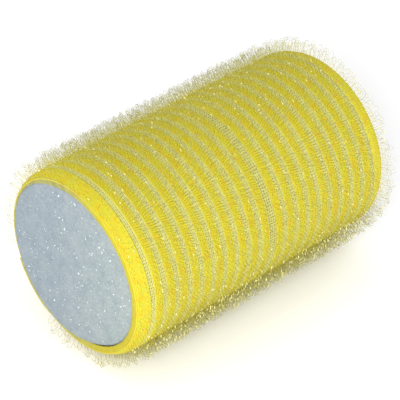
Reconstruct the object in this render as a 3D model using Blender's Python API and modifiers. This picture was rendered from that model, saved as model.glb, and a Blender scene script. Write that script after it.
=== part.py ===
"""Foam-filled self-grip hair roller, lying on its side.

A soft foam core is wrapped once in a strip of woven hook tape, whose end laps over its start and is
welded down. The tape has a pale ground weave, two selvedges, and rows of hook yarn between them. Each
row is a ring of the tape's own surface with its nylon hooks standing on it, except along the weld.

Frame: metres, +Z up, X along the roller. The origin is on the surface that the roller rests on, under
its middle, and the hooks underneath are pressed flat there.
"""

import math

import bmesh
import bpy
from mathutils import Matrix, Vector

MM = 0.001

# Driving dimensions
ROLLER_LENGTH = 58.0 * MM
CORE_RADIUS = 16.2 * MM
CORE_EDGE = 0.4 * MM  # rounding of the cut foam's rim
SEAT_GAP = 0.3 * MM  # room for the glue or the weave between two layers
GROUND_THICKNESS = 0.3 * MM
ROW_THICKNESS = 0.35 * MM
HOOK_REACH = 19.6 * MM  # from the roller's axis to the tips of the hooks
REST_PRESS = 0.5 * MM  # how far the roller's own surface presses the hooks flat

# The tape's stripes, across its width
ROW_WIDTH = 1.38 * MM
ROW_PITCH = 2.72 * MM
ROWS_BEFORE_MIDDLE = 10
ROWS_AFTER_MIDDLE = 9
MIDDLE_STRIPE_EXTRA = 0.6 * MM  # the bare stripe near the middle is wider by this

# The lap where the tape's end covers its start, in degrees round the roller
LAP_START = -54.0
LAP_ANGLE = 30.0
LAP_CLIMB = 14.0
WELD_PAST_LAP = 8.0  # the weld, which has no hooks, runs from the climb to this far past the lap
ROW_FROM_LAP = 3.0  # from the lap's edge to the start of a row
ROW_END_INSET = 1.0

# Hooks
HOOKS_PER_TURN = 26
FILAMENT_RADIUS = 0.24 * MM
HOOK_SIDES = 3
HOOK_ROOT = 0.2 * MM  # depth of a hook's root in its row
CURL_RADIUS = 0.4 * MM
CURL_ANGLE = math.radians(140)
CURL_STEPS = 2
COLUMN_OFFSET = 0.33 * MM  # hooks stand in two columns, this far from the row's centre line
SELVEDGE_HOOK_INSET = 0.55 * MM
PRESSED_FLAT = 0.05 * MM  # depth of the flat on a pressed hook's crown

# Facets and shading
CORE_STEPS = 64
GROUND_STEPS = 72
ROW_STEPS = 32
SHARP_ANGLE = math.radians(40)

LAP_STEP = GROUND_THICKNESS + SEAT_GAP
GROUND_RADIUS = CORE_RADIUS + SEAT_GAP
ROW_HEIGHT = GROUND_THICKNESS + SEAT_GAP  # of a row's underside over the tape's inner face
ROW_TOP = ROW_HEIGHT + ROW_THICKNESS
HOOK_STAND = HOOK_REACH - GROUND_RADIUS - ROW_TOP  # a hook's height over its row
AXIS_HEIGHT = HOOK_REACH - REST_PRESS
BARE_STRIPE = ROW_PITCH - ROW_WIDTH
ROW_COUNT = ROWS_BEFORE_MIDDLE + ROWS_AFTER_MIDDLE
ROWS_SPAN = (ROW_COUNT - 1) * ROW_PITCH + MIDDLE_STRIPE_EXTRA + ROW_WIDTH
SELVEDGE_WIDTH = (ROLLER_LENGTH - ROWS_SPAN) / 2 - BARE_STRIPE

PART_COLLECTION = "hair_roller"
HELPER_COLLECTION = "helpers"
AXIS_NAME = "roller_axis"


def clear_scene():
    for thing in list(bpy.data.objects):
        bpy.data.objects.remove(thing)


def add_collections_and_axis():
    """The two collections, and the empty on the roller's axis that carries every piece."""
    for name in (PART_COLLECTION, HELPER_COLLECTION):
        bpy.context.scene.collection.children.link(bpy.data.collections.new(name))
    axis = bpy.data.objects.new(AXIS_NAME, None)
    axis.location.z = AXIS_HEIGHT
    bpy.data.collections[PART_COLLECTION].objects.link(axis)


def material(name, colour, roughness):
    made = bpy.data.materials.new(name)
    made.use_nodes = True
    shader = made.node_tree.nodes["Principled BSDF"]
    shader.inputs["Base Color"].default_value = (*colour, 1.0)
    shader.inputs["Roughness"].default_value = roughness
    shader.inputs["Metallic"].default_value = 0.0
    return made


def on_axis(target, x=0.0):
    """Moves an object into the roller's collection and hangs it on the axis, x from its middle."""
    for holder in list(target.users_collection):
        holder.objects.unlink(target)
    bpy.data.collections[PART_COLLECTION].objects.link(target)
    target.parent = bpy.data.objects[AXIS_NAME]
    target.location.x = x
    return target


def as_helper(target):
    """Moves an object among the helpers, which cut and join the pieces and aren't pieces themselves."""
    for holder in list(target.users_collection):
        holder.objects.unlink(target)
    bpy.data.collections[HELPER_COLLECTION].objects.link(target)
    target.hide_render = True
    target.display_type = "WIRE"
    return target


def object_from(shape, name):
    mesh = bpy.data.meshes.new(name)
    shape.to_mesh(mesh)
    shape.free()
    return bpy.data.objects.new(name, mesh)


def boolean(target, operation, other):
    modifier = target.modifiers.new(operation.lower(), "BOOLEAN")
    modifier.operation = operation
    modifier.object = other
    modifier.solver = "EXACT"


def finish(target, look):
    """Applies the object's modifiers, gives it its material and shades its round faces smooth."""
    evaluated = target.evaluated_get(bpy.context.evaluated_depsgraph_get())
    mesh = bpy.data.meshes.new_from_object(evaluated)
    target.modifiers.clear()
    target.data = mesh
    mesh.name = target.name
    mesh.materials.clear()
    mesh.materials.append(look)
    mesh.shade_smooth()
    mesh.set_sharp_from_angle(angle=SHARP_ANGLE)


def wrap_radius(angle):
    """Radius of the tape's inner face, angle degrees along the wrap from its inner end.

    It is a plain circle until the last few degrees of the turn, where the tape climbs over its start.
    """
    climb = min(max((angle - (360.0 - LAP_CLIMB)) / LAP_CLIMB, 0.0), 1.0)
    return GROUND_RADIUS + LAP_STEP * climb * climb * (3.0 - 2.0 * climb)


def outward(angle):
    """Direction from the axis to the wrap at that angle."""
    turn = math.radians(LAP_START + angle)
    return Vector((0.0, math.cos(turn), math.sin(turn)))


def wrap_ribbon(first, last, steps, height, width):
    """An open strip along the wrap, centred on x = 0, height above the tape's inner face."""
    shape = bmesh.new()
    chain = []
    for step in range(steps + 1):
        angle = last + (first - last) * step / steps
        point = outward(angle) * (wrap_radius(angle) + height)
        chain.append(shape.verts.new(point - Vector((width / 2, 0.0, 0.0))))
    edges = [shape.edges.new(pair) for pair in zip(chain, chain[1:])]
    swept = bmesh.ops.extrude_edge_only(shape, edges=edges)["geom"]
    moved = [part for part in swept if isinstance(part, bmesh.types.BMVert)]
    bmesh.ops.translate(shape, verts=moved, vec=(width, 0.0, 0.0))
    return shape


def thicken(target, thickness):
    """Grows an open strip outwards to its thickness."""
    modifier = target.modifiers.new("thickness", "SOLIDIFY")
    modifier.thickness = thickness
    modifier.offset = 1.0
    modifier.use_even_offset = True


def foam_core(look):
    bpy.ops.mesh.primitive_cylinder_add(
        vertices=CORE_STEPS, radius=CORE_RADIUS, depth=ROLLER_LENGTH, rotation=(0.0, math.pi / 2, 0.0)
    )
    core = on_axis(bpy.context.object)
    core.name = "foam_core"
    rim = core.modifiers.new("cut_rim", "BEVEL")
    rim.width = CORE_EDGE
    rim.segments = 2
    rim.limit_method = "ANGLE"
    finish(core, look)


def tape_ground(look):
    strip = wrap_ribbon(0.0, 360.0 + LAP_ANGLE, GROUND_STEPS, 0.0, ROLLER_LENGTH)
    tape = on_axis(object_from(strip, "tape_ground"))
    thicken(tape, GROUND_THICKNESS)
    finish(tape, look)


def hook_shape(stem):
    """One hook: a straight stem up its Z that curls over towards its X."""
    shape = bmesh.new()
    bmesh.ops.create_circle(shape, cap_ends=True, segments=HOOK_SIDES, radius=FILAMENT_RADIUS)
    # A flat side of the filament faces away from the curl's centre, so the crown is flat on top.
    turned = Matrix.Rotation(-math.pi / 2, 3, "Z")
    bmesh.ops.rotate(shape, verts=shape.verts, cent=(0.0, 0.0, 0.0), matrix=turned)
    top = bmesh.ops.extrude_face_region(shape, geom=shape.faces[:])["geom"]
    ring = [part for part in top if isinstance(part, bmesh.types.BMVert)]
    bmesh.ops.translate(shape, verts=ring, vec=(0.0, 0.0, stem))
    centre = (CURL_RADIUS, 0.0, stem)
    bmesh.ops.spin(shape, geom=top, cent=centre, axis=(0.0, 1.0, 0.0), angle=CURL_ANGLE, steps=CURL_STEPS)
    bmesh.ops.recalc_face_normals(shape, faces=shape.faces)
    return shape


def hook_placing(angle, column, side):
    """Matrix that stands a hook on its row, curling one way round the roller or the other."""
    out = outward(angle)
    across = Vector((-side, 0.0, 0.0))
    curl = across.cross(out)
    root = out * (wrap_radius(angle) + ROW_TOP - HOOK_ROOT) + Vector((column, 0.0, 0.0))
    axes = Matrix((curl, across, out)).transposed().to_4x4()
    return Matrix.Translation(root) @ axes


def placed_hook(angle, column, side):
    """A hook in its place. One that would reach into the surface has a shorter stem, as if pressed."""
    stem = HOOK_ROOT + HOOK_STAND - CURL_RADIUS - FILAMENT_RADIUS / 2
    placing = hook_placing(angle, column, side)
    shape = hook_shape(stem)
    bmesh.ops.transform(shape, matrix=placing, verts=shape.verts)
    lowest = min(vert.co.z for vert in shape.verts) + AXIS_HEIGHT
    if lowest >= -PRESSED_FLAT:
        return shape
    shape.free()
    drop = -outward(angle).z
    shape = hook_shape(stem - (-PRESSED_FLAT - lowest) / drop)
    bmesh.ops.transform(shape, matrix=placing, verts=shape.verts)
    return shape


def hook_angles(shift):
    """Number and angle of each hook of a row, spaced from straight below the axis by shift steps."""
    spacing = 360.0 / HOOKS_PER_TURN
    weld_end = LAP_ANGLE + WELD_PAST_LAP
    weld_start = 360.0 - LAP_CLIMB
    for number in range(HOOKS_PER_TURN):
        turn = -90.0 + (number + shift) * spacing
        angle = (turn - LAP_START - weld_end) % 360.0 + weld_end
        if angle < weld_start:
            yield number, angle


def hooks_of(name, shift, columns):
    """All of a row's hooks as one helper, to be joined to the row. Neighbours curl opposite ways."""
    joined = bmesh.new()
    for number, angle in hook_angles(shift):
        side = 1 if number % 2 else -1
        shape = placed_hook(angle, columns[number % 2], side)
        single = bpy.data.meshes.new("hook")
        shape.to_mesh(single)
        shape.free()
        joined.from_mesh(single)
        bpy.data.meshes.remove(single)
    return object_from(joined, name + "_hooks")


def hook_row(name, x, width, shift, columns, surface, look):
    """A slice of the tape's surface, as wide as its yarn, with its hooks fused to it."""
    first = LAP_ANGLE + ROW_FROM_LAP
    last = 360.0 + LAP_ANGLE - ROW_END_INSET
    row = on_axis(object_from(wrap_ribbon(first, last, ROW_STEPS, ROW_HEIGHT, width), name), x)
    thicken(row, ROW_THICKNESS)
    hooks = as_helper(on_axis(hooks_of(name, shift, columns), x))
    boolean(row, "UNION", hooks)
    boolean(row, "DIFFERENCE", surface)
    finish(row, look)


def resting_surface():
    """The surface under the roller: it cuts the flats on the pressed hooks."""
    depth = 4.0 * MM
    shape = bmesh.new()
    bmesh.ops.create_cube(shape, size=1.0)
    bmesh.ops.scale(shape, verts=shape.verts, vec=(2 * ROLLER_LENGTH, 2 * ROLLER_LENGTH, depth))
    bmesh.ops.translate(shape, verts=shape.verts, vec=(0.0, 0.0, -depth / 2))
    return as_helper(object_from(shape, "resting_surface"))


def row_centres():
    """Centres of the hook rows along X, with the wider bare stripe after the tenth."""
    first = -ROLLER_LENGTH / 2 + SELVEDGE_WIDTH + BARE_STRIPE + ROW_WIDTH / 2
    for number in range(ROW_COUNT):
        extra = MIDDLE_STRIPE_EXTRA if number >= ROWS_BEFORE_MIDDLE else 0.0
        yield first + number * ROW_PITCH + extra


def main():
    clear_scene()
    add_collections_and_axis()
    foam = material("white_foam", (0.74, 0.81, 0.86), 0.9)
    pale = material("pale_weave", (0.86, 0.84, 0.52), 0.7)
    yellow = material("yellow_nylon", (0.84, 0.77, 0.08), 0.45)

    foam_core(foam)
    tape_ground(pale)

    surface = resting_surface()
    both = (-COLUMN_OFFSET, COLUMN_OFFSET)
    for number, x in enumerate(row_centres()):
        # Hooks of neighbouring rows stand in each other's gaps.
        shift = 0.5 * (number % 2)
        hook_row(f"hook_row_{number + 1:02d}", x, ROW_WIDTH, shift, both, surface, yellow)

    selvedge_centre = (ROLLER_LENGTH - SELVEDGE_WIDTH) / 2
    for name, end in (("selvedge_left", -1), ("selvedge_right", 1)):
        columns = (-end * SELVEDGE_HOOK_INSET, 0.0)
        hook_row(name, end * selvedge_centre, SELVEDGE_WIDTH, 0.5, columns, surface, yellow)


main()
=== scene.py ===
"""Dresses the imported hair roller: foam with open cells, woven hook tape thread by thread, nylon hooks.

Metres, in the frame of the CAD model: X along the roller, +Z up, and the surface it lies on at z = 0.
Angles along the wrap are in degrees from the tape's inner end, as in the part's own source.
"""

import math
import random

import bmesh
import bpy
from mathutils import Matrix, Vector, noise


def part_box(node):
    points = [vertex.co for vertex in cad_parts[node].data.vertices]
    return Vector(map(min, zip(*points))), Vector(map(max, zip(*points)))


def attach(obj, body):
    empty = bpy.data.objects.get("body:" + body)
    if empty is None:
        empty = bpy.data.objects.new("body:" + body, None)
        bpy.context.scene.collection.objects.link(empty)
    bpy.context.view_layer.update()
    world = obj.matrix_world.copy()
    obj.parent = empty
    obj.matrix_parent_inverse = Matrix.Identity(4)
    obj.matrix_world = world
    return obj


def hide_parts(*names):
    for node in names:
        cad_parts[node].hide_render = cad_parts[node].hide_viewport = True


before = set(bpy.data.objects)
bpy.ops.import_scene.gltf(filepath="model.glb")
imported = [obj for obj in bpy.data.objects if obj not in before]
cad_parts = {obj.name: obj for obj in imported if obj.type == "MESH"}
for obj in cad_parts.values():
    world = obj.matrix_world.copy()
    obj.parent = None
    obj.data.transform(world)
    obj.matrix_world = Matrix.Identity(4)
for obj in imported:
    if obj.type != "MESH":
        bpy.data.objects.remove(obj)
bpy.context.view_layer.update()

MM = 0.001

# ---------------------------------------------------------------- sizes

# From the frame
foam_low, foam_high = (Vector(corner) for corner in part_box("foam_core"))
HALF_LENGTH = foam_high.x
AXIS_HEIGHT = (foam_high.z + foam_low.z) / 2
ROW_NAMES = sorted(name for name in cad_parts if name.startswith("hook_row"))
SELVEDGE_NAMES = ["selvedge_left", "selvedge_right"]

# The wrap. But for its curled edges, its outer face lies within 0.2 mm of the CAD rows'.
# The foam fills it out.
CLOTH_RADIUS = 17.4 * MM
TAPE_THICKNESS = 0.95 * MM
GROUND_RADIUS = CLOTH_RADIUS - TAPE_THICKNESS
LAP_START = -54.0
LAP_ANGLE = 30.0
LAP_CLIMB = 14.0
LAP_STEP = 0.5 * MM  # the welded tape is pressed thin under the lap
WRAP_END = 360.0 + LAP_ANGLE
CURL_IN = 0.8 * MM  # how far the tape's two edges curl in towards the axis
CURL_FROM = 26.6 * MM

# The cloth under the threads
BACKING_THICKNESS = 0.45 * MM
BACKING_STEPS = 240
BACKING_COLUMNS = (CURL_FROM, 27.6 * MM, 28.3 * MM, 28.85 * MM)  # on each side of the middle

# Threads
WEFT_COUNT = 206
WEFT_RADIUS = 0.14 * MM
WEFT_HEIGHT = 0.56 * MM  # of a weft's middle over the tape's inner face
WEFT_DIP = 0.06 * MM
WEFT_INSET = 0.15 * MM  # of a weft's end from the tape's edge
WARP_RADIUS = 0.16 * MM
WARP_HEIGHT = 0.74 * MM
WARP_WAVE = 0.05 * MM
WARP_WANDER = 0.03 * MM
WARPS_IN_ROW = 5
WARPS_IN_SELVEDGE = 11
BAND_SPREAD = 1.16  # the loose yarn spreads wider than the row's own width
PALE_WARP_RADIUS = 0.11 * MM
PALE_WARP_RISE = 0.08 * MM  # over the wefts' middle, where they rise between two bands
PALE_WARP_WAVE = 0.06 * MM
PALE_WARPS = 4
EDGE_THREADS = 8
EDGE_BULGE = 0.12 * MM
EDGE_WAVE = 0.03 * MM
EDGE_GAP = 0.1 * MM  # from the innermost thread's middle to the foam's face
THREAD_SEED = 5

# Foam
FOAM_GRID = 140  # squares along each side of an end face
FOAM_RIM = 0.35 * MM
FOAM_PROUD = 0.6 * MM  # how far the middle of the foam swells out past the tape's edge
FOAM_DOME = 0.7 * MM  # how far the face falls back from its middle to its rim
FACE_RADIUS = 15.2 * MM  # inside the edge of the tape, which is rolled in over the foam
FLARE_RADIUS = 15.9 * MM  # where the foam is squeezed out over the tape's edge instead
FLARE_PROUD = 0.7 * MM
FLARE_TURN = -12.0  # the middle of that stretch and half of it, in degrees round the roller
FLARE_HALF = 52.0
FLARE_FADE = 60.0
SHOULDER_LIMIT = HALF_LENGTH + 0.15 * MM  # how far out the foam's shoulder may lie
SHOULDER_DEPTH = 0.05 * MM  # behind the face's rim, and more where the foam isn't squeezed out
SHOULDER_TUCK = 0.5 * MM
PORE_SIZE = 0.75 * MM
PORE_DEPTH = 0.12 * MM
PORE_SLOPE = 1.6
SWELL_SIZE = 3 * MM
SWELL_DEPTH = 0.06 * MM
CELL_SLICE = 7.0  # gives each end its own cells
GLINTS_A_FACE = 260
GLINT_INSET = 0.7 * MM
GLINT_SIZE = 0.06 * MM
GLINT_SPREAD = 0.15 * MM
GLINT_RISE = 0.3  # over the face, in sizes
GLINT_FLATNESS = 0.5
GLINT_STRETCH = (0.7, 1.3)
GLINT_TILT = 0.7  # radians
GLINT_SEED = 11

# Hooks
HOOK_REACH = 19.6 * MM
HOOK_ROOT = 0.1 * MM  # depth of a hook's root in its yarn
HOOK_STAND = HOOK_REACH - GROUND_RADIUS - WARP_HEIGHT
HOOK_SPACING = 0.45 * MM
SPARSE_SPACING = 0.9 * MM  # along the near selvedge, where the hooks are thin
HOOK_COLUMN = 0.28  # how far a row's two columns of hooks stand off its middle, in row widths
HOOKS_FROM_LAP = 4.0  # from the lap's edge to a row's first hook, in degrees
HOOKS_END_INSET = 3.0
HOOK_JITTER = 0.08  # round the roller, in steps
HOOK_WANDER = 0.08 * MM
HOOK_LEAN = (-0.28, 0.28)  # along the roller, of a hook in a row
NEAR_LEAN = (-0.7, 0.05)  # of one on a selvedge, which leans out past the tape's edge
FAR_LEAN = (0.0, 0.9)
WRAP_LEAN = (-0.1, 0.2)  # round the roller, towards the curl
SELVEDGE_HOOKS = {
    "selvedge_left": (SPARSE_SPACING, NEAR_LEAN),
    "selvedge_right": (HOOK_SPACING, FAR_LEAN),
}
FILAMENT_RADIUS = 0.06 * MM
STEM_SHARE = (0.8, 1.3)  # shortest and longest stem, in HOOK_STAND
STEM_BOW = 0.05 * MM
CURL_RADIUS = 0.42 * MM
CURL_STEPS = 5
CURL_END = 0.25 * MM  # the straight end past the curl
CURL_SPLAY = 0.03 * MM
STUB_GAP = 0.1 * MM
STUB_BEND = 0.4  # where a stub bends and where it ends, in stems
STUB_END = 0.62
WELD_FROM, WELD_TO = -68.0, -16.0  # the welded seam, in degrees round the roller, has no hooks left
FLOOR_CLEARANCE = 0.1 * MM

# What glitters on the hooks: painted glints
TIP_SHARE = 0.06  # of the hooks, whose cut end melted to a bead
TIP_SIZE = 0.09 * MM
TIP_SPREAD = 0.09 * MM
TIP_SEED = 3
CURL_GLINT_SHARE = 0.03  # of the hooks, whose curl mirrors the light
LOW_GLINT_SHARE = 0.42  # of those low on the side in view, where most curls lie the right way
LOW_FROM, LOW_TO = 192.0, 230.0
CURL_GLINT_RADIUS = 0.08 * MM
CURL_TOP = slice(3, 6)  # the points of a hook's leg that make the top of its curl
CURL_GLINT_SEED = 9

# Camera
CAMERA_TURN = math.radians(42.2)
CAMERA_ELEVATION = math.radians(36.8)
CAMERA_DISTANCE = 376 * MM
CAMERA_AIM = Vector((-0.2 * MM, -0.1 * MM, AXIS_HEIGHT - 0.25 * MM))
CAMERA_CLIP = 0.01
LENS = 190.2
SENSOR = 36.0

# Light
WORLD_LIGHT = 0.92
KEY_DISTANCE = 0.4
KEY_OFFSET = Vector((-0.08, 0.0, 0.0))
KEY_SIZE = 0.18
KEY_POWER = 1.4
SIDE_PLACE = Vector((0.05, -0.4, 0.04))
SIDE_SIZE = 0.1
SIDE_POWER = 0.45
FILL_PLACE = Vector((-0.09, -0.08, 0.03))
FILL_SIZE = 0.02
FILL_POWER = 0.008
FILL_TINT = (1.0, 0.86, 0.62)
CLEAR_SURFACES = 64  # a line of sight crosses dozens of clear hooks
FLOOR_SIZE = 3.0

# ---------------------------------------------------------------- tints

WHITE = (1.0, 1.0, 1.0)
FOAM_TINTS = ((0.292, 0.348, 0.378), (0.355, 0.40, 0.42))
FOAM_GRAIN = ((0.76, 0.78, 0.80), WHITE)
# Painted light: the foam is painted lighter and warmer on the side in view, fading to the middle, as if
# lit there and tinted by the tape's yellow.
FOAM_PAINTED_LIGHT = ((1.0, 1.0, 0.92), (0.85, 0.86, 0.89))  # from the side in view to the middle
FOAM_PAINTED_LIGHT_SPAN = (-16 * MM, 6 * MM)
# Painted glint: paler than the foam, on the skins across a few cells.
CELL_GLINT_TINTS = ((0.54, 0.61, 0.65), (0.74, 0.81, 0.85))
YELLOW_TINTS = ((0.62, 0.46, 0.026), (0.60, 0.53, 0.032), (0.55, 0.53, 0.045))
PALE_TINTS = ((0.58, 0.56, 0.19), (0.66, 0.65, 0.24))
BACKING_TINTS = ((0.40, 0.38, 0.10), (0.50, 0.47, 0.15))
FIBRE_SHADES = ((0.86, 0.85, 0.80), WHITE)
FIBRE_SIZE = 0.06 * MM
FIBRE_STRETCH = (2.0, 1.0, 1.0)
YARN_PATCH = 1.4 * MM
YARN_GLOSS = 0.15
# Painted shade: lit and shaded copies of the rolled edge's yarn, the shaded one towards the side where
# the foam is squeezed out.
LIT_EDGE_TINTS = ((0.44, 0.36, 0.02), (0.46, 0.41, 0.035))
SHADED_EDGE_TINTS = ((0.28, 0.27, 0.09), (0.42, 0.40, 0.13))
EDGE_SHADE_SPAN = (-7 * MM, 2 * MM)
HIGH_HOOK_TINTS = ((0.80, 0.72, 0.04), (0.62, 0.58, 0.08), (0.47, 0.46, 0.17))  # root to tip
# Painted shade: hooks low on the roller are darker and more olive, and darker still in patches between
# their clusters.
SHADED_LOW_HOOK_TINTS = ((0.50, 0.43, 0.01), (0.48, 0.44, 0.03), (0.47, 0.45, 0.10))
HIGH_PATCHES = ((0.86, 0.86, 0.86), WHITE)
LOW_SHADE_PATCHES = ((0.58, 0.56, 0.50), WHITE)
HOOKS_LOW_TO_HIGH = (11 * MM, 17 * MM)
HOOK_ALPHA = 0.17
# Painted glints: the bright pale colour of the beads and the curl tops.
TIP_TINTS = ((0.62, 0.58, 0.22), (0.78, 0.75, 0.38))
FLOOR_TINTS = ((0.95, 0.95, 0.95), (0.97, 0.97, 0.97))


# ---------------------------------------------------------------- the wrap


def wrap_radius(angle):
    """Radius of the tape's inner face, angle degrees along the wrap from its inner end."""
    climb = min(max((angle - (360.0 - LAP_CLIMB)) / LAP_CLIMB, 0.0), 1.0)
    return GROUND_RADIUS + LAP_STEP * climb * climb * (3.0 - 2.0 * climb)


def outward(angle):
    """Direction from the axis to the tape, at an angle along the wrap."""
    turn = math.radians(LAP_START + angle)
    return Vector((0.0, math.cos(turn), math.sin(turn)))


def onward(angle):
    """Direction in which the wrap runs there."""
    turn = math.radians(LAP_START + angle)
    return Vector((0.0, -math.sin(turn), math.cos(turn)))


def curled_in(x):
    """How far the tape is drawn in towards the axis, at x along the roller."""
    share = max(abs(x) - CURL_FROM, 0.0) / (HALF_LENGTH - CURL_FROM)
    return CURL_IN * share * share


def on_wrap(x, angle, height):
    """The point at x along the roller, height above the tape's inner face."""
    point = outward(angle) * (wrap_radius(angle) + height - curled_in(x))
    return point + Vector((x, 0.0, AXIS_HEIGHT))


def band(name):
    """Middle and width of a row or a selvedge, across the tape."""
    low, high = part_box(name)
    return (low[0] + high[0]) / 2, high[0] - low[0]


BANDS = {name: band(name) for name in [SELVEDGE_NAMES[0], *ROW_NAMES, SELVEDGE_NAMES[1]]}


def bare_stripes():
    """Middle and width of each stripe between two bands of yarn."""
    bands = list(BANDS.values())
    for (before, width), (after, next_width) in zip(bands, bands[1:]):
        left, right = before + width / 2, after - next_width / 2
        yield (left + right) / 2, right - left


# ---------------------------------------------------------------- objects


def add_piece(name, data, look, material_slot, *nodes):
    piece = bpy.data.objects.new(name, data)
    bpy.context.scene.collection.objects.link(piece)
    data.materials.append(look)
    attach(piece, "root")
    if nodes:
        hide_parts(*nodes)
    return piece


def mesh_from(name, shape, smooth=True):
    mesh = bpy.data.meshes.new(name)
    shape.to_mesh(mesh)
    shape.free()
    if smooth:
        mesh.shade_smooth()
    return mesh


def tubes(name, radius, lines, look, material_slot, *nodes, sides_level=1):
    """One piece of many round threads, each along its own line of points."""
    curve = bpy.data.curves.new(name, "CURVE")
    curve.dimensions = "3D"
    curve.bevel_depth = radius
    curve.bevel_resolution = sides_level
    curve.use_fill_caps = True
    for line in lines:
        spline = curve.splines.new("POLY")
        spline.points.add(len(line) - 1)
        spline.points.foreach_set("co", [value for point in line for value in (*point, 1.0)])
        spline.use_smooth = True
    add_piece(name, curve, look, material_slot, *nodes)


# ---------------------------------------------------------------- materials

# A mix node has sockets of one name for each kind of data, so those for colours go by their number
MIX_FACTOR, MIX_FIRST, MIX_SECOND = 0, 6, 7
MIX_RESULT = 2


class Look:
    """A node material with short calls for what the looks below share."""

    def __init__(self, name):
        self.material = bpy.data.materials.new(name)
        self.material.use_nodes = True
        self.tree = self.material.node_tree
        self.shader = self.tree.nodes["Principled BSDF"]
        self.place = self.node("ShaderNodeTexCoord").outputs["Object"]

    def node(self, kind, **values):
        made = self.tree.nodes.new(kind)
        for key, value in values.items():
            setattr(made, key, value)
        return made

    def link(self, source, target):
        self.tree.links.new(source, target)

    def feed(self, socket, source):
        """Joins a node's output to one of the shader's sockets."""
        self.link(source, self.shader.inputs[socket])

    def set(self, socket, value):
        self.shader.inputs[socket].default_value = value

    def mapped(self, **values):
        """The place, moved or scaled."""
        mapping = self.node("ShaderNodeMapping")
        for name, value in values.items():
            mapping.inputs[name].default_value = value
        self.link(self.place, mapping.inputs["Vector"])
        return mapping.outputs["Vector"]

    def noise(self, size, detail=2.0, stretch=None):
        made = self.node("ShaderNodeTexNoise")
        made.inputs["Scale"].default_value = 1.0 / size
        made.inputs["Detail"].default_value = detail
        place = self.mapped(Scale=stretch) if stretch else self.place
        self.link(place, made.inputs["Vector"])
        return made.outputs["Fac"]

    def cells(self, size):
        made = self.node("ShaderNodeTexVoronoi")
        made.inputs["Scale"].default_value = 1.0 / size
        self.link(self.place, made.inputs["Vector"])
        return made.outputs["Distance"]

    def map_range(self, source, side, low, high):
        """Maps low to high onto 0 to 1 with side "From", and 0 to 1 onto low to high with "To"."""
        made = self.node("ShaderNodeMapRange")
        made.inputs[side + " Min"].default_value = low
        made.inputs[side + " Max"].default_value = high
        self.link(source, made.inputs["Value"])
        return made.outputs["Result"]

    def from_axis(self, low, high):
        """0 to 1 as the distance from the roller's axis goes from low to high."""
        across = self.mapped(Location=(0.0, 0.0, -AXIS_HEIGHT), Scale=(0.0, 1.0, 1.0))
        distance = self.node("ShaderNodeVectorMath", operation="LENGTH")
        self.link(across, distance.inputs[0])
        return self.map_range(distance.outputs["Value"], "From", low, high)

    def across(self, axis, low, high):
        """0 to 1 as the place along an axis of the frame goes from low to high."""
        parts = self.node("ShaderNodeSeparateXYZ")
        self.link(self.place, parts.inputs["Vector"])
        return self.map_range(parts.outputs[axis], "From", low, high)

    def ramp(self, source, tints, ends=(0.3, 0.7)):
        """Colour that goes evenly through the tints as the source goes from one end to the other."""
        made = self.node("ShaderNodeValToRGB")
        elements = made.color_ramp.elements
        while len(elements) < len(tints):
            elements.new(0.5)
        first, last = ends
        for number, (element, tint) in enumerate(zip(elements, tints)):
            element.position = first + (last - first) * number / (len(tints) - 1)
            element.color = (*tint, 1.0)
        self.link(source, made.inputs["Fac"])
        return made.outputs["Color"]

    def mix_node(self, first, second, **values):
        made = self.node("ShaderNodeMix", data_type="RGBA", **values)
        self.link(first, made.inputs[MIX_FIRST])
        self.link(second, made.inputs[MIX_SECOND])
        return made

    def mix(self, factor, first, second):
        made = self.mix_node(first, second)
        self.link(factor, made.inputs[MIX_FACTOR])
        return made.outputs[MIX_RESULT]

    def shaded(self, colour, shade):
        """One colour times another."""
        made = self.mix_node(colour, shade, blend_type="MULTIPLY")
        made.inputs[MIX_FACTOR].default_value = 1.0
        return made.outputs[MIX_RESULT]

    def roughness(self, patch, low, high):
        self.feed("Roughness", self.map_range(self.noise(patch), "To", low, high))

    def bump(self, source, depth, strength):
        made = self.node("ShaderNodeBump")
        made.inputs["Distance"].default_value = depth
        made.inputs["Strength"].default_value = strength
        self.link(source, made.inputs["Height"])
        self.feed("Normal", made.outputs["Normal"])


def foam_look():
    look = Look("open_cell_foam")
    tint = look.ramp(look.noise(2.4 * MM), FOAM_TINTS)
    grain = look.ramp(look.noise(0.5 * MM, detail=3.0), FOAM_GRAIN)
    # Painted light: lighter and warmer towards the side in view.
    painted_light = look.ramp(look.across("Y", *FOAM_PAINTED_LIGHT_SPAN), FOAM_PAINTED_LIGHT, ends=(0.0, 1.0))
    look.feed("Base Color", look.shaded(look.shaded(tint, grain), painted_light))
    look.roughness(0.5 * MM, low=0.7, high=0.95)
    look.bump(look.cells(0.42 * MM), depth=0.12 * MM, strength=0.6)
    look.set("Subsurface Weight", 0.1)
    look.set("Subsurface Radius", (1.0 * MM, 1.0 * MM, 1.2 * MM))
    return look.material


def glint_look():
    look = Look("foam_cell_glint")
    # Painted glint: the skins are paler than the foam around them.
    look.feed("Base Color", look.ramp(look.noise(0.3 * MM), CELL_GLINT_TINTS))
    look.roughness(0.3 * MM, low=0.05, high=0.2)
    look.set("Specular IOR Level", 0.8)
    return look.material


def yarn_look(name, roughness, tints):
    """Multifilament yarn: its colour drifts over the tape, and fine fibres run along the thread."""
    look = Look(name)
    drift = look.ramp(look.noise(YARN_PATCH, detail=3.0), tints)
    fibre = look.noise(FIBRE_SIZE, stretch=FIBRE_STRETCH)
    look.feed("Base Color", look.shaded(drift, look.ramp(fibre, FIBRE_SHADES, ends=(0.3, 0.65))))
    look.roughness(0.4 * MM, low=roughness - 0.1, high=roughness + 0.1)
    look.bump(fibre, depth=0.02 * MM, strength=0.5)
    look.set("Specular IOR Level", YARN_GLOSS)
    return look.material


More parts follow.
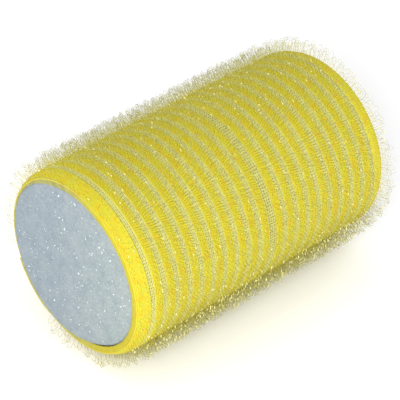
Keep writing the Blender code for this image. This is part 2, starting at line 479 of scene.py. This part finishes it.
def edge_look():
    """Yarn of the rolled edge, painted darker and duller on the side where the foam is squeezed out:
    painted shade.
    """
    look = Look("edge_yarn")
    lit_edge = look.ramp(look.noise(YARN_PATCH, detail=3.0), LIT_EDGE_TINTS)
    shaded_edge = look.ramp(look.noise(YARN_PATCH, detail=3.0), SHADED_EDGE_TINTS)
    # Painted shade: darker across Y, on the side where the foam is squeezed out.
    look.feed("Base Color", look.mix(look.across("Y", *EDGE_SHADE_SPAN), lit_edge, shaded_edge))
    look.roughness(0.4 * MM, low=0.5, high=0.7)
    look.set("Specular IOR Level", YARN_GLOSS)
    return look.material


def nylon_look():
    """Clear monofilament. It takes the yarn's yellow near its root and is greyer at its tip. Low on the
    roller it is painted darker and more olive, in darker patches: painted shade.
    """
    look = Look("hook_nylon")
    height = look.from_axis(CLOTH_RADIUS, HOOK_REACH - 0.4 * MM)
    high = look.ramp(height, HIGH_HOOK_TINTS, ends=(0.0, 1.0))
    high = look.shaded(high, look.ramp(look.noise(1.5 * MM), HIGH_PATCHES))
    low = look.ramp(height, SHADED_LOW_HOOK_TINTS, ends=(0.0, 1.0))
    low = look.shaded(low, look.ramp(look.noise(0.9 * MM), LOW_SHADE_PATCHES, ends=(0.38, 0.6)))
    # Painted shade: the low hooks darker than the high ones.
    look.feed("Base Color", look.mix(look.across("Z", *HOOKS_LOW_TO_HIGH), low, high))
    look.roughness(0.3 * MM, low=0.12, high=0.25)
    look.set("Alpha", HOOK_ALPHA)
    look.set("Specular IOR Level", 0.2)
    return look.material


def tip_look():
    """The melted beads and the curls that mirror the light: painted glints in bright pale nylon."""
    look = Look("hook_tip_nylon")
    look.feed("Base Color", look.ramp(look.noise(1.5 * MM), TIP_TINTS))
    look.roughness(0.3 * MM, low=0.05, high=0.15)
    look.set("Specular IOR Level", 1.0)
    return look.material


def floor_look():
    look = Look("floor_paint")
    look.feed("Base Color", look.ramp(look.noise(0.4), FLOOR_TINTS))
    look.set("Roughness", 0.9)
    return look.material


# ---------------------------------------------------------------- foam


def disc_point(across, up):
    """A point of a square, from -1 to 1 each way, moved to its place on the unit disc."""
    if across == 0.0 and up == 0.0:
        return 0.0, 0.0
    if abs(across) > abs(up):
        radius, turn = across, math.pi / 4 * up / across
    else:
        radius, turn = up, math.pi / 2 - math.pi / 4 * across / up
    return radius * math.cos(turn), radius * math.sin(turn)


def flare(y, z):
    """1 on the stretch where the foam is squeezed out over the tape's edge, 0 away from it."""
    turn = math.degrees(math.atan2(z, y))
    beyond = (abs((turn - FLARE_TURN + 180.0) % 360.0 - 180.0) - FLARE_HALF) / FLARE_FADE
    beyond = min(max(beyond, 0.0), 1.0)
    return 1.0 - beyond * beyond * (3.0 - 2.0 * beyond)


def face_radius(y, z):
    return FACE_RADIUS + (FLARE_RADIUS - FACE_RADIUS) * flare(y, z)


def foam_depth(y, z, end):
    """How far the cut face lies inside its middle: open cells, the domed face and the rounded rim."""
    place = Vector((end * CELL_SLICE, y / PORE_SIZE, z / PORE_SIZE))
    pore = max(0.0, 1.0 - PORE_SLOPE * noise.voronoi(place)[0][0])
    swell = 0.5 + 0.5 * noise.noise(Vector((y / SWELL_SIZE, z / SWELL_SIZE, end)))
    share = math.hypot(y, z) / face_radius(y, z)
    depth = PORE_DEPTH * pore + SWELL_DEPTH * swell + FOAM_DOME * share**2
    depth -= FLARE_PROUD * flare(y, z) * share**3
    beyond = (share - 1.0) * face_radius(y, z) + FOAM_RIM
    if beyond > 0.0:
        depth += FOAM_RIM - math.sqrt(max(FOAM_RIM**2 - beyond**2, 0.0))
    return depth


def foam_face(shape, end):
    """One end face of the foam, as a grid. Returns its rim's points in order."""
    grid = []
    for row in range(FOAM_GRID + 1):
        line = []
        for column in range(FOAM_GRID + 1):
            y, z = disc_point(2 * column / FOAM_GRID - 1, 2 * row / FOAM_GRID - 1)
            reach = face_radius(y, z)
            y, z = y * reach, z * reach
            x = end * (HALF_LENGTH + FOAM_PROUD - foam_depth(y, z, end))
            line.append(shape.verts.new((x, y, z + AXIS_HEIGHT)))
        grid.append(line)
    for low, high in zip(grid, grid[1:]):
        for column in range(FOAM_GRID):
            corners = (low[column], low[column + 1], high[column + 1], high[column])
            shape.faces.new(corners if end > 0 else corners[::-1])
    right = [line[-1] for line in grid[:-1]]
    left = [line[0] for line in grid[:0:-1]]
    return grid[0][:-1] + right + grid[-1][:0:-1] + left


def ring_behind(shape, rim, radius, reaches):
    """A ring of points behind a face's rim, each as far from the roller's middle as reaches says."""
    ring = []
    for point, reach in zip(rim, reaches):
        y, z = point.co.y, point.co.z - AXIS_HEIGHT
        scale = radius / math.hypot(y, z)
        x = math.copysign(reach, point.co.x)
        ring.append(shape.verts.new((x, y * scale, z * scale + AXIS_HEIGHT)))
    return ring


def shoulder_reach(point):
    """How far from the middle the foam meets the tape's edge, behind a point of the rim."""
    tuck = SHOULDER_TUCK * (1.0 - flare(point.co.y, point.co.z - AXIS_HEIGHT))
    return min(abs(point.co.x), SHOULDER_LIMIT) - SHOULDER_DEPTH - tuck


def foam_end(shape, end):
    """Rings of one end: its face's rim, the shoulder, and where the foam reaches its full size."""
    rim = foam_face(shape, end)
    reaches = [shoulder_reach(point) for point in rim]
    shoulder = ring_behind(shape, rim, GROUND_RADIUS - CURL_IN, reaches)
    side = ring_behind(shape, rim, GROUND_RADIUS, [CURL_FROM] * len(rim))
    return [rim, shoulder, side]


def foam_body(look):
    shape = bmesh.new()
    rings = foam_end(shape, -1) + foam_end(shape, 1)[::-1]
    count = len(rings[0])
    for first, second in zip(rings, rings[1:]):
        for place in range(count):
            after = (place + 1) % count
            shape.faces.new((first[place], first[after], second[after], second[place]))
    bmesh.ops.recalc_face_normals(shape, faces=shape.faces)
    piece = add_piece("foam_body", mesh_from("foam_body", shape), look, "foam", "foam_core")


def glint_place(end, draw):
    """Matrix that makes one small flat glint of a unit ball, on an end face."""
    turn = draw.uniform(0, 2 * math.pi)
    away = (FACE_RADIUS - GLINT_INSET) * math.sqrt(draw.random())
    y, z = away * math.cos(turn), away * math.sin(turn)
    size = GLINT_SIZE + GLINT_SPREAD * draw.random() ** 2
    x = end * (HALF_LENGTH + FOAM_PROUD - foam_depth(y, z, end) + GLINT_RISE * size)
    tilt = Matrix.Rotation(draw.uniform(-GLINT_TILT, GLINT_TILT), 4, "Y")
    tilt = tilt @ Matrix.Rotation(draw.uniform(-GLINT_TILT, GLINT_TILT), 4, "Z")
    flat = Matrix.Diagonal((GLINT_FLATNESS * size, size, size * draw.uniform(*GLINT_STRETCH), 1.0))
    return Matrix.Translation((x, y, z + AXIS_HEIGHT)) @ tilt @ flat


def foam_glints(look):
    """Skins left across a few of the foam's cells, which catch the light."""
    draw = random.Random(GLINT_SEED)
    shape = bmesh.new()
    for end in (-1, 1):
        for _ in range(GLINTS_A_FACE):
            place = glint_place(end, draw)
            bmesh.ops.create_icosphere(shape, subdivisions=1, radius=1.0, matrix=place)
    add_piece("foam_glints", mesh_from("foam_glints", shape), look, "foam")


# ---------------------------------------------------------------- tape


def tape_backing(look):
    """The cloth itself, under its threads, as one strip wrapped round the foam and lapped."""
    shape = bmesh.new()
    columns = [-x for x in reversed(BACKING_COLUMNS)] + list(BACKING_COLUMNS)
    angles = [WRAP_END * step / BACKING_STEPS for step in range(BACKING_STEPS + 1)]
    chains = [[shape.verts.new(on_wrap(x, angle, 0.0)) for angle in angles] for x in columns]
    for left, right in zip(chains, chains[1:]):
        for step in range(BACKING_STEPS):
            shape.faces.new((left[step], left[step + 1], right[step + 1], right[step]))
    bmesh.ops.recalc_face_normals(shape, faces=shape.faces)
    mesh = mesh_from("tape_backing", shape, smooth=False)
    piece = add_piece("tape_backing", mesh, look, "ground", "tape_ground")
    first = mesh.polygons[0]
    faces_out = first.normal.dot(first.center - Vector((0, 0, AXIS_HEIGHT))) > 0
    solid = piece.modifiers.new("thickness", "SOLIDIFY")
    solid.thickness = BACKING_THICKNESS
    solid.offset = 1.0 if faces_out else -1.0


def weft_angle(number):
    return WRAP_END * (number + 0.5) / WEFT_COUNT


def weft_lines():
    """Threads along the roller, which dip under each band of yarn."""
    heights = [(x, -WEFT_DIP) for x, _ in BANDS.values()]
    heights += [(x, WEFT_DIP) for x, _ in bare_stripes()]
    heights.sort()
    heights[0] = (-HALF_LENGTH + WEFT_INSET, heights[0][1])
    heights[-1] = (HALF_LENGTH - WEFT_INSET, heights[-1][1])
    for number in range(WEFT_COUNT):
        angle = weft_angle(number)
        yield [on_wrap(x, angle, WEFT_HEIGHT + height) for x, height in heights]


def warp_line(x, height, wave, phase, draw):
    """A thread round the roller, over one weft and under the next."""
    line = []
    for number in range(WEFT_COUNT):
        side = 1 if (number + phase) % 2 else -1
        wander = draw.uniform(-WARP_WANDER, WARP_WANDER)
        line.append(on_wrap(x + wander, weft_angle(number), height + side * wave))
    return line


def warp_lines(x, width, count, height, wave, draw):
    """The threads of a band, count of them side by side over its width."""
    pitch = width / count
    first = x - width / 2 + pitch / 2
    return [warp_line(first + pitch * place, height, wave, place, draw) for place in range(count)]


def ground_weave(look, draw):
    """The pale cloth: its wefts, and the warps that show in the bare stripes."""
    tubes("weft_threads", WEFT_RADIUS, weft_lines(), look, "ground")
    height = WEFT_HEIGHT + WEFT_DIP + PALE_WARP_RISE
    lines = []
    for x, width in bare_stripes():
        lines += warp_lines(x, width, PALE_WARPS, height, PALE_WARP_WAVE, draw)
    tubes("ground_threads", PALE_WARP_RADIUS, lines, look, "ground", sides_level=0)


def edge_lines(end, draw):
    """Threads of the tape's cut edge, which is rolled in over the foam."""
    drop = GROUND_RADIUS + WARP_HEIGHT - CURL_IN - FACE_RADIUS - EDGE_GAP
    lines = []
    for number in range(EDGE_THREADS):
        share = number / (EDGE_THREADS - 1)
        x = end * (HALF_LENGTH + EDGE_BULGE * math.sin(math.pi * share))
        lines.append(warp_line(x, WARP_HEIGHT - share * drop, EDGE_WAVE, number, draw))
    return lines


def rolled_edges(look, draw):
    for name, end in zip(SELVEDGE_NAMES, (-1, 1)):
        tubes(name + "_roll", WARP_RADIUS, edge_lines(end, draw), look, "hook_yarn")


# ---------------------------------------------------------------- hooks


def hook_lines(x, angle, side, slant, draw):
    """A cut loop of monofilament: the long leg that curls over, and the short stub it was cut from."""
    out, along = outward(angle), onward(angle) * side
    lean = Vector((draw.uniform(*slant), 0.0, 0.0))
    up = (out + lean + along * draw.uniform(*WRAP_LEAN)).normalized()
    root = on_wrap(x, angle, WARP_HEIGHT - HOOK_ROOT)
    stem = HOOK_STAND * draw.uniform(*STEM_SHARE) - CURL_RADIUS
    line = [root, root + up * stem / 2 - along * STEM_BOW, root + up * stem]
    centre = root + up * stem + along * CURL_RADIUS
    for step in range(1, CURL_STEPS + 1):
        turn = math.pi * step / CURL_STEPS
        line.append(centre - along * CURL_RADIUS * math.cos(turn) + up * CURL_RADIUS * math.sin(turn))
    line.append(line[-1] - up * CURL_END + along * CURL_SPLAY)
    foot = root + along * (2 * CURL_RADIUS + STUB_GAP)
    stub = [foot, foot + up * stem * STUB_BEND + along * STEM_BOW, foot + up * stem * STUB_END]
    return [line, stub]


def pressed(line):
    """Keeps a hook above the surface the roller lies on, bent where it would reach through."""
    return [Vector((point.x, point.y, max(point.z, FLOOR_CLEARANCE))) for point in line]


def in_weld(angle):
    turn = (LAP_START + angle + 180.0) % 360.0 - 180.0
    return WELD_FROM < turn < WELD_TO


def row_hooks(x, width, seed, spacing, slant):
    """Lines of a row's hooks, in two columns that curl opposite ways. Every second line is a stub."""
    draw = random.Random(seed)
    step = math.degrees(spacing / (GROUND_RADIUS + WARP_HEIGHT))
    lines = []
    for column, side in ((-HOOK_COLUMN, 1), (HOOK_COLUMN, -1)):
        angle = LAP_ANGLE + HOOKS_FROM_LAP + (0.0 if side > 0 else step / 2) + (step / 4) * (seed % 2)
        while angle < WRAP_END - HOOKS_END_INSET:
            if not in_weld(angle):
                jitter = draw.uniform(-HOOK_JITTER, HOOK_JITTER) * step
                place = x + column * width + draw.uniform(-HOOK_WANDER, HOOK_WANDER)
                hook = hook_lines(place, angle + jitter, side, slant, draw)
                lines += [pressed(line) for line in hook]
            angle += step
    return lines


def hook_bands(yarn, nylon, draw):
    """The rows and the selvedges: each one's yarn and its hooks. Returns the hooks' long legs."""
    legs = []
    for seed, (name, (x, width)) in enumerate(BANDS.items()):
        count = WARPS_IN_SELVEDGE if name in SELVEDGE_NAMES else WARPS_IN_ROW
        lines = warp_lines(x, width * BAND_SPREAD, count, WARP_HEIGHT, WARP_WAVE, draw)
        tubes(name + "_yarn", WARP_RADIUS, lines, yarn, "hook_yarn", name)
        spacing, slant = SELVEDGE_HOOKS.get(name, (HOOK_SPACING, HOOK_LEAN))
        hooks = row_hooks(x, width, seed, spacing, slant)
        tubes(name + "_hooks", FILAMENT_RADIUS, hooks, nylon, "hook_yarn", name, sides_level=0)
        legs += hooks[::2]
    return legs


def hook_tips(legs, look):
    """Beads at the cut ends of some hooks, painted bright as glints."""
    draw = random.Random(TIP_SEED)
    shape = bmesh.new()
    for leg in legs:
        if draw.random() < TIP_SHARE:
            size = TIP_SIZE + TIP_SPREAD * draw.random() ** 2
            if leg[-1].z > size + FLOOR_CLEARANCE:
                place = Matrix.Translation(leg[-1])
                bmesh.ops.create_icosphere(shape, subdivisions=2, radius=size, matrix=place)
    add_piece("hook_tips", mesh_from("hook_tips", shape), look, "hook_yarn")


def curl_glints(legs, look):
    """The tops of some curls, where the clear nylon mirrors the light."""
    draw = random.Random(CURL_GLINT_SEED)
    arcs = []
    for leg in legs:
        turn = math.degrees(math.atan2(leg[0].z - AXIS_HEIGHT, leg[0].y)) % 360.0
        share = LOW_GLINT_SHARE if LOW_FROM < turn < LOW_TO else CURL_GLINT_SHARE
        if draw.random() < share:
            arcs.append(leg[CURL_TOP])
    tubes("curl_glints", CURL_GLINT_RADIUS, arcs, look, "hook_yarn", sides_level=0)


# ---------------------------------------------------------------- stage


def stage():
    bpy.ops.mesh.primitive_plane_add(size=FLOOR_SIZE)
    floor = bpy.context.object
    floor.name = "floor"
    floor.data.materials.append(floor_look())

    world = bpy.data.worlds.new("studio")
    world.use_nodes = True
    backdrop = world.node_tree.nodes["Background"]
    backdrop.inputs["Color"].default_value = (*WHITE, 1.0)
    backdrop.inputs["Strength"].default_value = WORLD_LIGHT
    bpy.context.scene.world = world

    area_light("key", CAMERA_AIM - camera_ahead() * KEY_DISTANCE + KEY_OFFSET, KEY_SIZE, KEY_POWER)
    area_light("side", SIDE_PLACE, SIDE_SIZE, SIDE_POWER)
    fill = area_light("fill", FILL_PLACE, FILL_SIZE, FILL_POWER)
    fill.data.color = FILL_TINT
    bpy.context.scene.view_settings.view_transform = "Standard"
    bpy.context.scene.cycles.transparent_max_bounces = CLEAR_SURFACES


def area_light(name, place, size, power):
    """A square light at a place, turned to the roller's middle and hidden from the camera."""
    data = bpy.data.lights.new(name, "AREA")
    data.energy = power
    data.size = size
    light = bpy.data.objects.new(name, data)
    light.location = place
    light.rotation_euler = facing(Vector((0, 0, AXIS_HEIGHT)) - place)
    light.visible_camera = False
    bpy.context.scene.collection.objects.link(light)
    return light


def facing(direction):
    return direction.to_track_quat("-Z", "Y").to_euler()


def camera_ahead():
    level = math.cos(CAMERA_ELEVATION)
    east, north = math.sin(CAMERA_TURN) * level, math.cos(CAMERA_TURN) * level
    return Vector((east, north, -math.sin(CAMERA_ELEVATION)))


def camera():
    ahead = camera_ahead()
    data = bpy.data.cameras.new("camera")
    data.lens = LENS
    data.sensor_width = SENSOR
    data.clip_start = CAMERA_CLIP
    made = bpy.data.objects.new("camera", data)
    made.location = CAMERA_AIM - ahead * CAMERA_DISTANCE
    made.rotation_euler = facing(ahead)
    bpy.context.scene.collection.objects.link(made)
    bpy.context.scene.camera = made


# ---------------------------------------------------------------- the roller


def main():
    camera()
    stage()
    foam_body(foam_look())
    foam_glints(glint_look())
    tape_backing(yarn_look("backing_weave", 0.6, BACKING_TINTS))
    draw = random.Random(THREAD_SEED)
    ground_weave(yarn_look("pale_yarn", 0.55, PALE_TINTS), draw)
    rolled_edges(edge_look(), draw)
    legs = hook_bands(yarn_look("yellow_yarn", 0.5, YELLOW_TINTS), nylon_look(), draw)
    tip = tip_look()
    hook_tips(legs, tip)
    curl_glints(legs, tip)


main()
